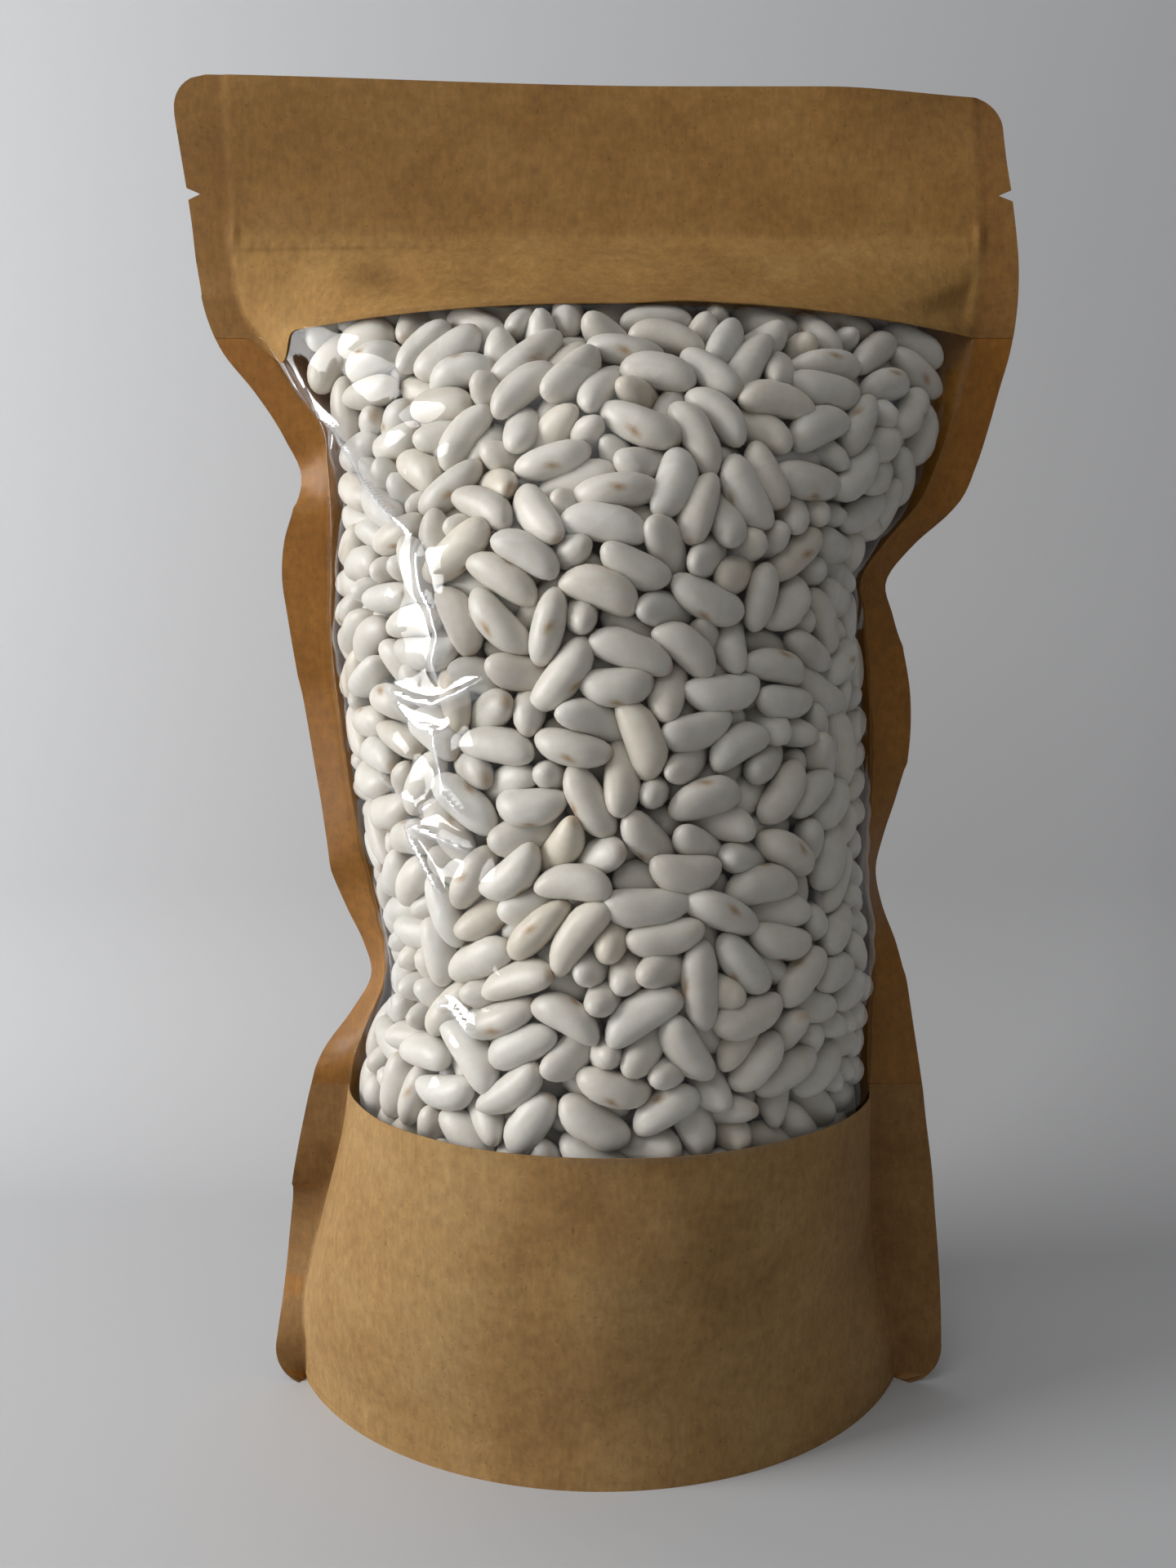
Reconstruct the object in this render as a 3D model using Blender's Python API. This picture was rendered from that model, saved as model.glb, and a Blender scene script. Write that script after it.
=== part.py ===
"""Stand-up pouch of dried white beans: kraft paper with a clear window, filled and sealed.

The pouch is two flat panels joined down both sides.  Between the side seals each panel is a strip of
constant length, so wherever the beans push the panels apart the seals are drawn in towards each other.
The seal lines and the length of the strip therefore give the belly of the pouch at every height.

X runs across the pouch, -Y is the front with the window, +Z is up, and the base stands on z = 0.
"""
import math

import bmesh
import bpy

MM = 0.001

# Driving dimensions, in millimetres.
HEIGHT = 286.0            # base to top edge
PANEL = 164.0             # length across a panel from seal to seal, measured along its curve
TOP_CORNER = 7.0          # radius of the upper corners
BASE_CORNER = 8.0         # radius of the lower corners
SEAL_DEPTH = 8.0          # width of the side seal when it lies flat
SEAL_SHOWN = 1.0          # least width of the seal seen from the front
SEAL_TURN = 20.0          # height at the base and below the closure in which the seals turn back
SEAL_THICKNESS = 0.8      # both panels welded together
WALL = 0.6                # one panel and its lining
GAP = 0.3                 # clearance between neighbouring pieces
WINDOW_LOW = 67.0         # lower edge of the clear window
WINDOW_HIGH = 232.0       # upper edge of the clear window
CLOSURE = 254.0           # where the two panels come together above the beans
CLOSURE_EASE = 8.0        # height below it in which they flatten out
FILL_LEVEL = 243.0        # highest beans
FILL_DOME = 14.0          # height of the domed top of the filling
FILL_LUMP = 1.5           # unevenness of that top ...
FILL_WAVES = (0.13, 0.17)   # ... in radians per millimetre across and from front to back
DOME_STEPS = ((0.0, 0.99), (0.35, 0.93), (0.7, 0.78), (0.9, 0.55), (1.0, 0.25))   # share of rise, of width
RING_STEP = 8.2           # height between the rings of each loft
STRIPS = 18               # flat strips across one panel
SIDE_ROOM = 1.6           # how many wall insets the inside stays clear of each seal line
NOTCH_HEIGHT = 262.7      # tear notches
NOTCH_SIZE = 3.0
NOTCH_SLOPE = 2.4         # depth lost per millimetre of height away from the notch
CORNER_BEND = 5.0         # how far the upper right corner is bent back ...
CORNER_BEND_X = (50.0, 94.0)   # ... between these two x ...
CORNER_BEND_Z = 262.0     # ... and from this height up
CORNER_LEAN = 5.0         # how far the upper left corner leans forwards ...
CORNER_LEAN_X = (20.0, -100.0)   # ... between these two x, from the closure up
CURL = 2.2                # how far the side seals curl forwards below the window ...
CURL_END = (45.0, 63.0)   # ... ending between these heights
CUTTER_WIDTH = 220.0      # the block that cuts the window: wider than the pouch ...
CUTTER_FRONT = -90.0      # ... and starting well in front of it
CUTTER_BACK = 0.5         # distance from the front of the seals to its rear face

# Height and x of each edge, in millimetres: the outer edges of the side seals ...
LEFT_EDGE = [(0, -71.5), (12, -70.8), (27, -69.0), (50, -66.0), (66, -63.0), (76, -59.4), (84, -53.0),
             (90, -50.2), (98, -51.6), (112, -57.2), (131, -60.8), (152, -64.0), (170, -67.0),
             (184, -68.4), (196, -65.5), (204, -64.9), (213, -69.0), (221, -74.5), (229, -81.0),
             (236, -84.2), (245, -86.0), (259, -87.5), (275, -89.2), (286, -89.9)]
RIGHT_EDGE = [(0, 78.5), (20, 78.0), (42, 76.4), (64, 74.5), (83, 71.7), (97, 69.2), (108, 65.8),
              (116, 64.8), (125, 67.0), (137, 69.9), (152, 70.8), (167, 68.5), (179, 66.2),
              (185, 67.8), (191, 77.0), (197, 81.5), (206, 85.4), (220, 89.4), (232, 92.5),
              (248, 93.5), (267, 91.3), (286, 91.0)]

# ... and the inner edges, where the panels part.
LEFT_SEAL = [(0, -63.0), (12, -65.0), (23, -64.0), (37, -60.7), (57, -55.8), (75, -52.8), (85, -48.5),
             (95, -45.5), (110, -48.8), (127, -52.7), (145, -55.3), (166, -57.6), (185, -57.4),
             (203, -58.1), (216, -60.4), (222, -66.0), (231, -71.0), (237, -76.0), (244, -78.0),
             (254, -78.7), (286, -79.0)]
RIGHT_SEAL = [(0, 70.0), (16, 66.5), (27, 64.0), (44, 62.8), (72, 62.2), (103, 62.2), (117, 60.6),
              (127, 61.8), (150, 62.0), (176, 60.0), (184, 61.0), (191, 69.0), (199, 73.8),
              (213, 79.0), (228, 82.5), (241, 84.6), (254, 85.0), (286, 85.0)]

KRAFT = (0.29, 0.17, 0.07)
FILM = (0.85, 0.86, 0.86)
BEAN = (0.62, 0.58, 0.53)


def clear_scene():
    for item in list(bpy.data.objects):
        bpy.data.objects.remove(item, do_unlink=True)


def make_collection(name):
    collection = bpy.data.collections.new(name)
    bpy.context.scene.collection.children.link(collection)
    return collection


def make_material(name, colour, roughness):
    material = bpy.data.materials.new(name)
    material.use_nodes = True
    shader = material.node_tree.nodes["Principled BSDF"]
    shader.inputs["Base Color"].default_value = (*colour, 1.0)
    shader.inputs["Roughness"].default_value = roughness
    material.diffuse_color = (*colour, 1.0)
    return material


def smooth(low, high, value):
    """0 below low, 1 above high, and an S curve between."""
    t = min(max((value - low) / (high - low), 0.0), 1.0)
    return t * t * (3.0 - 2.0 * t)


def along(points, z):
    """Value at height z of the smooth curve through (height, value) points."""
    count = len(points)
    i = max(k for k in range(count - 1) if points[k][0] <= max(z, 0.0))

    def slope(k):
        before = points[max(k - 1, 0)]
        after = points[min(k + 1, count - 1)]
        return (after[1] - before[1]) / (after[0] - before[0])

    (z0, v0), (z1, v1) = points[i], points[i + 1]
    span = z1 - z0
    t = (z - z0) / span
    return (v0 * (1 + 2 * t) * (1 - t) ** 2 + v1 * t * t * (3 - 2 * t)
            + span * slope(i) * t * (1 - t) ** 2 - span * slope(i + 1) * t * t * (1 - t))


def corner_inset(z):
    """How far the rounded corners at the top and the base take the outer edge in at height z."""
    inset = 0.0
    for radius, reach in ((TOP_CORNER, z - (HEIGHT - TOP_CORNER)), (BASE_CORNER, BASE_CORNER - z)):
        if reach > 0.0:
            inset = radius - math.sqrt(max(radius ** 2 - reach ** 2, 0.0))
    return inset


def notch_inset(z):
    """Depth of the V-shaped tear notch at height z."""
    return max(NOTCH_SIZE - NOTCH_SLOPE * abs(z - NOTCH_HEIGHT), 0.0)


def half_angle(chord):
    """Half the angle of the arc of length PANEL that spans chord."""
    ratio = min(chord / PANEL, 0.99999)
    low, high = 1e-4, math.pi
    for _ in range(50):
        middle = 0.5 * (low + high)
        if math.sin(middle) / middle > ratio:
            low = middle
        else:
            high = middle
    return middle


def seals(z):
    """Outer and inner x of both seals at height z: left edge, left seal, right seal, right edge."""
    inset = corner_inset(z) + notch_inset(z)
    left_edge = along(LEFT_EDGE, z) + inset
    right_edge = along(RIGHT_EDGE, z) - inset
    left_seal = max(along(LEFT_SEAL, z), left_edge + SEAL_SHOWN)
    right_seal = min(along(RIGHT_SEAL, z), right_edge - SEAL_SHOWN)
    return left_edge, left_seal, right_seal, right_edge


def belly(z, across):
    """Distance of a panel from the seal plane; across runs from -1 to 1 between the seals."""
    if z >= CLOSURE:
        return 0.0
    _, left, right, _ = seals(z)
    angle = half_angle(right - left)
    radius = 0.5 * (right - left) / math.sin(angle)
    depth = radius * (math.cos(angle * across) - math.cos(angle))
    return depth * (1.0 - smooth(CLOSURE - CLOSURE_EASE, CLOSURE, z))


def bend(x, z):
    """How far the sheet at (x, z) stands back from the seal plane."""
    left_edge, left, right, right_edge = seals(z)
    curl = CURL * (1.0 - smooth(*CURL_END, z))
    turn = smooth(0.0, SEAL_TURN, z) * (1.0 - smooth(CLOSURE - SEAL_TURN, CLOSURE, z))
    back = 0.0
    for edge, seal in ((left_edge, left), (right_edge, right)):
        share = min(max((x - seal) / (edge - seal), 0.0), 1.0)
        hidden = math.sqrt(max(SEAL_DEPTH ** 2 - (edge - seal) ** 2, 0.0))
        back += share * (hidden * turn - curl)
    back += CORNER_BEND * smooth(*CORNER_BEND_X, x) * smooth(CORNER_BEND_Z, HEIGHT, z)
    return back - CORNER_LEAN * smooth(*CORNER_LEAN_X, x) * smooth(CLOSURE, HEIGHT, z)


def panel_line(z):
    """Points (x, distance from the seal plane) across one panel at height z, from seal to seal."""
    _, left, right, _ = seals(z)
    angle = half_angle(right - left)
    radius = 0.5 * (right - left) / math.sin(angle)
    steps = [2.0 * k / STRIPS - 1.0 for k in range(STRIPS + 1)]
    return [(0.5 * (left + right) + radius * math.sin(angle * s), belly(z, s)) for s in steps]


def pouch_ring(z):
    """Closed outline of the pouch's outside at height z, in millimetres."""
    left_edge, _, _, right_edge = seals(z)
    half = 0.5 * SEAL_THICKNESS
    front = [(left_edge, 0.0)] + panel_line(z) + [(right_edge, 0.0)]
    ring = [(x, bend(x, z) - y - half) for x, y in front]
    ring += [(x, bend(x, z) + y + half) for x, y in reversed(front)]
    return [(x, y, z) for x, y in ring]


def inner_ring(z, inset):
    """Closed outline inside the pouch at height z, inset from the outside of its walls."""
    line = panel_line(z)
    left, right = line[0][0], line[-1][0]
    middle = 0.5 * (left + right)
    narrow = 1.0 - 2.0 * SIDE_ROOM * inset / (right - left)
    deepest = belly(z, 0.0)
    shrink = (deepest - inset + 0.5 * SEAL_THICKNESS) / deepest
    line = [(middle + narrow * (x - middle), y * shrink) for x, y in line]
    ring = [(x, -y) for x, y in line] + [(x, y) for x, y in reversed(line[1:-1])]
    return [(x, y, z) for x, y in ring]


def loft(name, rings, collection, material):
    """Closed solid through rings of equal count, listed from the bottom up."""
    mesh = bmesh.new()
    rows = [[mesh.verts.new((x * MM, y * MM, z * MM)) for x, y, z in ring] for ring in rings]
    count = len(rows[0])
    for low, high in zip(rows, rows[1:]):
        for i in range(count):
            j = (i + 1) % count
            mesh.faces.new((low[i], low[j], high[j], high[i]))
    mesh.faces.new(rows[0][::-1])
    mesh.faces.new(rows[-1])
    bmesh.ops.triangulate(mesh, faces=mesh.faces, quad_method="FIXED")
    bmesh.ops.recalc_face_normals(mesh, faces=mesh.faces)
    data = bpy.data.meshes.new(name)
    mesh.to_mesh(data)
    mesh.free()
    data.materials.append(material)
    solid = bpy.data.objects.new(name, data)
    collection.objects.link(solid)
    return solid


def ring_heights():
    """Heights of the pouch's rings: closer at the rounded corners, the notches and the closure."""
    special = [0.8, 2.5, 5.0, CLOSURE - 4.0, CLOSURE]
    special += [NOTCH_HEIGHT + k * NOTCH_SIZE / NOTCH_SLOPE for k in (-1, 0, 1)]
    special += [HEIGHT - 4.5, HEIGHT - 2.2, HEIGHT - 0.6]
    count = round(HEIGHT / RING_STEP)
    even = [HEIGHT * k / count for k in range(1, count)]
    even = [z for z in even if all(abs(z - other) > 0.3 * RING_STEP for other in special)]
    return sorted([0.0, HEIGHT] + even + special)


def make_outside(name, collection, material):
    return loft(name, [pouch_ring(z) for z in ring_heights()], collection, material)


def make_inside(name, collection, material):
    levels = [z for z in ring_heights() if 2.0 * WALL < z < CLOSURE - 6.0]
    return loft(name, [inner_ring(z, WALL) for z in [WALL] + levels], collection, material)


def make_beans(collection, material):
    """The filling: it follows the inside of the pouch and ends in an uneven, domed top."""
    inset = WALL + 1.5 * GAP
    shoulder = FILL_LEVEL - FILL_DOME
    levels = [z for z in ring_heights() if 2.0 * inset < z < shoulder - 2.0]
    rings = [inner_ring(z, inset) for z in [inset] + levels]
    for rise, spread in DOME_STEPS:
        z = shoulder + rise * FILL_DOME
        ring = inner_ring(z, inset)
        middle = sum(point[0] for point in ring) / len(ring)
        row = []
        for x, y, _ in ring:
            wave = math.sin(FILL_WAVES[0] * x + 1.0) * math.cos(FILL_WAVES[1] * y)
            lump = FILL_LUMP * (1.0 - wave) * rise
            row.append((middle + (x - middle) * spread, y * spread, z - lump))
        rings.append(row)
    return loft("beans", rings, collection, material)


def make_window_cutter(name, margin, collection, material):
    """Block in front of the seals, as tall as the window less a margin all round."""
    bpy.ops.mesh.primitive_cube_add(size=1.0)
    block = bpy.context.active_object
    block.name = name
    low, high = WINDOW_LOW + margin, WINDOW_HIGH - margin
    back = -(0.5 * SEAL_THICKNESS + CUTTER_BACK + margin)
    block.scale = (CUTTER_WIDTH * MM, (back - CUTTER_FRONT) * MM, (high - low) * MM)
    block.location = (0.0, 0.5 * (CUTTER_FRONT + back) * MM, 0.5 * (low + high) * MM)
    bpy.ops.object.transform_apply(location=True, rotation=False, scale=True)
    block.data.materials.append(material)
    for owner in list(block.users_collection):
        owner.objects.unlink(block)
    collection.objects.link(block)
    return block


def apply_boolean(solid, operation, other):
    cut = solid.modifiers.new(operation.lower(), "BOOLEAN")
    cut.operation = operation
    cut.solver = "EXACT"
    cut.object = other


def hide(*cutters):
    for cutter in cutters:
        cutter.hide_render = True
        cutter.display_type = "WIRE"


def make_pouch():
    """The kraft pouch: outside less inside, with the window cut out of its front."""
    pouch = make_outside("kraft_pouch", parts, kraft)
    apply_boolean(pouch, "DIFFERENCE", inside)
    apply_boolean(pouch, "DIFFERENCE", make_window_cutter("window_cutter", 0.0, cutters, film))
    return pouch


def make_window():
    """The clear film: what the window cuts out of the wall, a little smaller all round."""
    window = make_outside("window_film", parts, film)
    apply_boolean(window, "DIFFERENCE", inside)
    apply_boolean(window, "INTERSECT", make_window_cutter("film_cutter", GAP, cutters, film))
    return window


def centre_on_base(solids):
    """Move the pouch so that its box stands centred on the origin."""
    points = [vertex.co for vertex in outline.data.vertices]
    shift_x = 0.5 * (min(p.x for p in points) + max(p.x for p in points))
    shift_y = 0.5 * (min(p.y for p in points) + max(p.y for p in points))
    for solid in solids:
        for vertex in solid.data.vertices:
            vertex.co.x -= shift_x
            vertex.co.y -= shift_y


clear_scene()
parts = make_collection("bag_of_beans")
cutters = make_collection("cutters")
kraft = make_material("kraft", KRAFT, 0.75)
film = make_material("clear_film", FILM, 0.08)
bean = make_material("white_bean", BEAN, 0.35)

inside = make_inside("inside", cutters, kraft)
outline = make_outside("outline", cutters, kraft)
make_pouch()
make_window()
make_beans(parts, bean)
hide(*cutters.objects)
centre_on_base(list(parts.objects) + list(cutters.objects))
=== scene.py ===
"""Looks of the stand-up pouch of dried white beans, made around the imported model.

The pouch is two flat panels welded down both sides.  Lengths are in millimetres unless they say so.
A place on a panel is (a, z): a is the distance across the flat panel from its middle, z the height.
X runs across the pouch, -Y is the front with the window, and +Z is up.
"""
import math

import bpy
import numpy as np
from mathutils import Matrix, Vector


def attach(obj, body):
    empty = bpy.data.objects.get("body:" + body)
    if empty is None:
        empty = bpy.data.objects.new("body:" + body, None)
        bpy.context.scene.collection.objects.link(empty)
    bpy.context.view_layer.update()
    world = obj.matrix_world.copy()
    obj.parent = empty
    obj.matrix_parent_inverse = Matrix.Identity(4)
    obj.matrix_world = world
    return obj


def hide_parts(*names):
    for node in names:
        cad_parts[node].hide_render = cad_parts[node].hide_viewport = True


MM = 0.001
FRONT, BACK = -1.0, 1.0

# The pouch.
PANEL = 164.0              # length of a panel between its side seals
HALF = 0.5 * PANEL
SEAL = 8.0                 # width of the side seal
SEAL_TURN = 20.0           # height at the base and below the closure in which the seals turn back
CLOSURE = 254.0            # where the panels come together above the beans
ZIP = 250.6                # height of the hidden zip
WINDOW_LOW = 67.0
WINDOW_HIGH = 232.0
TOP_CORNER = 7.0
BASE_CORNER = 8.0
NOTCH_HEIGHT = 262.7
NOTCH_SIZE = 3.0
NOTCH_SLOPE = 2.4
CORNER_BEND = 5.0          # how far the upper right corner is bent back ...
CORNER_BEND_X = (48.0, 92.0)
CORNER_BEND_Z = 262.0
CORNER_LEAN = 5.0          # ... and how far the upper left one leans forwards
CORNER_LEAN_X = (18.0, -102.0)
CURL = 2.2                 # how far the seals curl forwards below the window
CURL_END = (45.0, 63.0)
PAPER = 0.22               # thickness of the paper laminate
FILM = 0.12                # thickness of the film
SKIN = 0.35                # from the seal plane to the outside of a flat panel

# The beans.
BEAN_LENGTH = 15.4
BEAN_WIDTH = 7.5
BEAN_THICKNESS = 6.5
BEAN_COUNT = 690
SHELL = 16.5               # depth of loose beans behind the film
BEANS_LOW = 54.0
BEANS_HIGH = 241.5
SETTLE_STEPS = 260
FILM_ROOM = 1.25           # space kept between the beans and the film ...
PAPER_ROOM = 2.4           # ... and the paper, which is dented
BEHIND = 1.5               # how far behind the seal plane the loose beans may reach
BALL_END = 3.15            # radii of the balls that stand in for a bean's ends ...
BALL_MIDDLE = 3.55         # ... and its middle
NEAR = 8.6                 # balls with centres closer than this are tested for an overlap
PUSH_EASE = 0.55
PUSH_BOOST = 1.6           # because the mean push also counts the balls that touch nothing
TURN_EASE = 0.5
OUTER_DEPTH = 8.0          # beans nearer the film than this get a finer mesh
LUMP_DEPTH = 7.0           # beans nearer the film than this push it out
CORE_COLUMNS = 61

# The film's mesh.
FILM_TUCK = 3.0            # how far the film reaches under the paper above and below it
FILM_STEP = 0.8

# Colours of the paper: dark, middle and light pulp.
KRAFT_TONES = ((0.235, 0.127, 0.042), (0.29, 0.168, 0.06), (0.33, 0.205, 0.082))
LINING_TONES = ((0.26, 0.12, 0.018), (0.32, 0.152, 0.024), (0.37, 0.186, 0.034))

# The stage.  Each lamp has its place, its target, its width and height, all in metres, and its watts.
LAMPS = {
    "key": ((-0.86, -0.26, 0.36), (0.0, -0.02, 0.14), 0.42, 0.6, 9.5),
    "fill": ((-0.35, -0.6, 1.0), (0.0, 0.0, 0.14), 0.8, 0.8, 3.3),
}
WORLD_LIGHT = 0.17
BACKDROP = (0.5, 0.505, 0.515)
CAMERA_PLACE = (-2.8, -262.0, 143.3)
CAMERA_LENS = 27.08
CAMERA_TIP = 2.0           # degrees down

# Folds of the film: places (a, z) along each, its height, half width and how much film it doubles up.
FOLDS = (
    (((-84, 224), (-76, 212), (-61, 197), (-51, 190), (-36.5, 182)), 1.3, 0.8, 1.0),
    (((-37, 184), (-35.5, 177), (-35, 172), (-32.5, 168), (-31.5, 163), (-33.5, 158), (-32, 152)),
     1.5, 1.0, 0.9),
    (((-50, 155), (-47, 154), (-40, 151.5), (-34, 150.5), (-28, 152.5), (-21, 155.5)), 1.7, 0.9, 0.9),
    (((-47.5, 153), (-41.5, 148), (-39, 146.5), (-34, 145.5), (-29, 146.5)), 0.8, 0.7, 0.5),
    (((-36, 147), (-34.5, 143), (-34, 137.5), (-33, 133.5), (-27.5, 127.5)), 1.3, 0.8, 0.7),
    (((-32.5, 135), (-36, 132), (-41, 129.5)), 1.0, 0.8, 0.6),
    (((-45.5, 128), (-35.5, 125.5), (-26.5, 122.5)), 1.6, 0.9, 0.9),
    (((-45, 129), (-42.5, 124), (-40.5, 121), (-35.5, 113)), 1.4, 0.8, 0.8),
    (((-35.5, 115.5), (-39.5, 107), (-42.5, 101.5)), 0.9, 0.7, 0.4),
    (((-43.5, 92.5), (-38, 93), (-30.5, 87.5)), 1.2, 0.8, 0.7),
    (((-55, 138), (-48, 134.5), (-41, 130.5)), 0.7, 0.6, 0.3),
    (((-80.5, 228), (-79, 219), (-77, 209), (-76, 200)), 1.0, 0.8, 0.4),
    (((-70, 205), (-68.5, 185), (-70, 160), (-66, 140)), 0.5, 0.8, 0.2),
    (((-62, 118), (-64, 100), (-58, 84)), 0.6, 0.8, 0.25),
    (((16, 190), (34, 199.5), (61, 217), (70, 220)), 0.7, 0.6, 0.25),
    (((33, 198.5), (43, 198.5), (56, 201)), 0.7, 0.6, 0.3),
    (((22, 176), (26, 178), (39, 181)), 0.6, 0.6, 0.2),
    (((60, 181), (53, 172), (50, 163), (46.5, 156), (51, 146), (48.5, 129)), 0.8, 0.7, 0.3),
    (((50, 134), (48.5, 128), (41.5, 113.5), (45.5, 96)), 0.6, 0.7, 0.25),
)

rng = np.random.default_rng(11)


# ---------------------------------------------------------------- shape of the pouch

def smooth(low, high, value):
    t = np.clip((value - low) / (high - low), 0.0, 1.0)
    return t * t * (3.0 - 2.0 * t)


def curve(xs, ys, x):
    """Smooth curve through the points (xs, ys), read at x."""
    slope = np.gradient(ys, xs)
    i = np.clip(np.searchsorted(xs, x, side="right") - 1, 0, len(xs) - 2)
    span = xs[i + 1] - xs[i]
    t = np.clip((x - xs[i]) / span, 0.0, 1.0)
    return (ys[i] * (1 + 2 * t) * (1 - t) ** 2 + ys[i + 1] * t * t * (3 - 2 * t)
            + span * slope[i] * t * (1 - t) ** 2 - span * slope[i + 1] * t * t * (1 - t))


def read_outline(node):
    """Heights and x of both edges and both seal lines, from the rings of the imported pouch."""
    points = np.empty(3 * len(node.data.vertices), np.float32)
    node.data.vertices.foreach_get("co", points)
    points = points.reshape(-1, 3) / MM
    levels = points[:, 2]
    whole = (levels < WINDOW_LOW - 1.0) | (levels > WINDOW_HIGH + 1.0)
    points = points[whole | (points[:, 1] > 0.3)]
    levels = points[:, 2].round(1)
    top = levels.max()
    rows = []
    for level in np.unique(levels):
        rounded = level < BASE_CORNER or level > top - TOP_CORNER or abs(level - NOTCH_HEIGHT) < 2.0
        xs = np.unique(points[levels == level, 0].round(1))
        flat = level > CLOSURE - 1.0
        if not rounded and (flat or len(xs) > 8):
            seals = rows[-1][2:4] if flat else (xs[1], xs[-2])
            rows.append((level, xs[0], *seals, xs[-1]))
    return top, np.array(rows)


class Section:
    """The cross-section of the pouch at the heights z."""

    def __init__(self, z):
        levels = OUTLINE[:, 0]
        self.left_edge, self.left, self.right, self.right_edge = (
            curve(levels, OUTLINE[:, k], z) for k in range(1, 5))
        self.middle = 0.5 * (self.left + self.right)
        ratio = np.clip((self.right - self.left) / PANEL, 0.0, 0.99996)
        self.angle = np.interp(ratio, CHORDS[::-1], ANGLES[::-1])
        self.radius = 0.5 * (self.right - self.left) / np.sin(self.angle)
        self.open = 1.0 - smooth(CLOSURE - 8.0, CLOSURE, z)


def edge_inset(z):
    """How far the rounded corners and the tear notch take the outer edge in."""
    upper = np.clip(z - (HEIGHT - TOP_CORNER), 0.0, TOP_CORNER)
    lower = np.clip(BASE_CORNER - z, 0.0, BASE_CORNER)
    inset = TOP_CORNER - np.sqrt(TOP_CORNER ** 2 - upper ** 2)
    inset += BASE_CORNER - np.sqrt(BASE_CORNER ** 2 - lower ** 2)
    return inset + np.clip(NOTCH_SIZE - NOTCH_SLOPE * np.abs(z - NOTCH_HEIGHT), 0.0, None)


def panel(a, z, side):
    """Points of one panel, before its creases; the last axis holds x, y and z."""
    s = Section(z)
    phi = np.clip(a / HALF, -1.0, 1.0) * s.angle
    x = s.middle + s.radius * np.sin(phi)
    deep = s.radius * (np.cos(phi) - np.cos(s.angle)) * s.open
    curl = CURL * (1.0 - smooth(*CURL_END, z))
    turn = smooth(0.0, SEAL_TURN, z) * (1.0 - smooth(CLOSURE - SEAL_TURN, CLOSURE, z))
    back = 0.0
    for sign, edge, seal in ((-1.0, s.left_edge, s.left), (1.0, s.right_edge, s.right)):
        shown = np.abs(edge - seal)
        share = np.clip((sign * a - HALF) / SEAL, 0.0, 1.0)
        hidden = np.sqrt(np.clip(SEAL ** 2 - shown ** 2, 0.0, None))
        x = x + sign * share * np.maximum(shown - edge_inset(z), 0.4)
        back = back + share * (hidden * turn - curl)
    back = back + CORNER_BEND * smooth(*CORNER_BEND_X, x) * smooth(CORNER_BEND_Z, HEIGHT, z)
    back = back - CORNER_LEAN * smooth(*CORNER_LEAN_X, x) * smooth(CLOSURE, HEIGHT, z)
    y = back + side * (deep + SKIN)
    return np.stack([x, y, z], axis=-1)


def normals(grid, side):
    """Outward unit normals of a grid of panel points."""
    across = np.gradient(grid, axis=1)
    up = np.gradient(grid, axis=0)
    normal = np.cross(across, up) * -side
    return normal / np.maximum(np.linalg.norm(normal, axis=-1, keepdims=True), 1e-9)


def value_noise(u, v, seed):
    """Smooth noise from -1 to 1 with features one unit across."""
    table = np.random.default_rng(seed).uniform(-1.0, 1.0, (64, 64))
    iu, iv = np.floor(u).astype(int), np.floor(v).astype(int)
    fu, fv = smooth(0.0, 1.0, u - iu), smooth(0.0, 1.0, v - iv)
    corner = [[table[(iu + i) % 64, (iv + j) % 64] for j in (0, 1)] for i in (0, 1)]
    low = corner[0][0] * (1 - fu) + corner[1][0] * fu
    high = corner[0][1] * (1 - fu) + corner[1][1] * fu
    return low * (1 - fv) + high * fv


def ridge(a, z, route, height, width):
    """A crease that rises to height along the route and fades out at both its ends."""
    route = np.array(route, float)
    steps = np.hypot(*np.diff(route, axis=0).T)
    run = np.concatenate([[0.0], np.cumsum(steps)])
    nearest = np.full(np.shape(a), 1e9)
    place = np.zeros(np.shape(a))
    for k, (start, end) in enumerate(zip(route, route[1:])):
        along = ((a - start[0]) * (end[0] - start[0]) + (z - start[1]) * (end[1] - start[1]))
        t = np.clip(along / steps[k] ** 2, 0.0, 1.0)
        gap = np.hypot(a - start[0] - t * (end[0] - start[0]), z - start[1] - t * (end[1] - start[1]))
        closer = gap < nearest
        nearest = np.where(closer, gap, nearest)
        place = np.where(closer, run[k] + t * steps[k], place)
    fade = smooth(0.0, 0.2 * run[-1], place) * smooth(0.0, 0.2 * run[-1], run[-1] - place)
    return height * fade / (1.0 + (nearest / width) ** 2) ** 1.5


# ---------------------------------------------------------------- making meshes

def spread(low, high, step, extra=()):
    """Evenly spaced values from low to high, with the extra ones in place of those close to them."""
    even = np.linspace(low, high, max(2, int(round((high - low) / step)) + 1))
    clear = [value for value in even if all(abs(value - other) > 0.4 * step for other in extra)]
    return np.sort(np.concatenate([clear, extra]))


def grid_faces(rows, cols):
    i = np.arange((rows - 1) * cols).reshape(rows - 1, cols)[:, :-1].ravel()
    return np.stack([i, i + 1, i + cols + 1, i + cols], axis=1)


def new_mesh(name, points, faces, materials):
    """A smooth-shaded mesh object from points in millimetres."""
    mesh = bpy.data.meshes.new(name)
    mesh.from_pydata((points * MM).tolist(), [], faces)
    mesh.shade_smooth()
    for material in materials:
        mesh.materials.append(material)
    piece = bpy.data.objects.new(name, mesh)
    bpy.context.scene.collection.objects.link(piece)
    return piece


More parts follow.
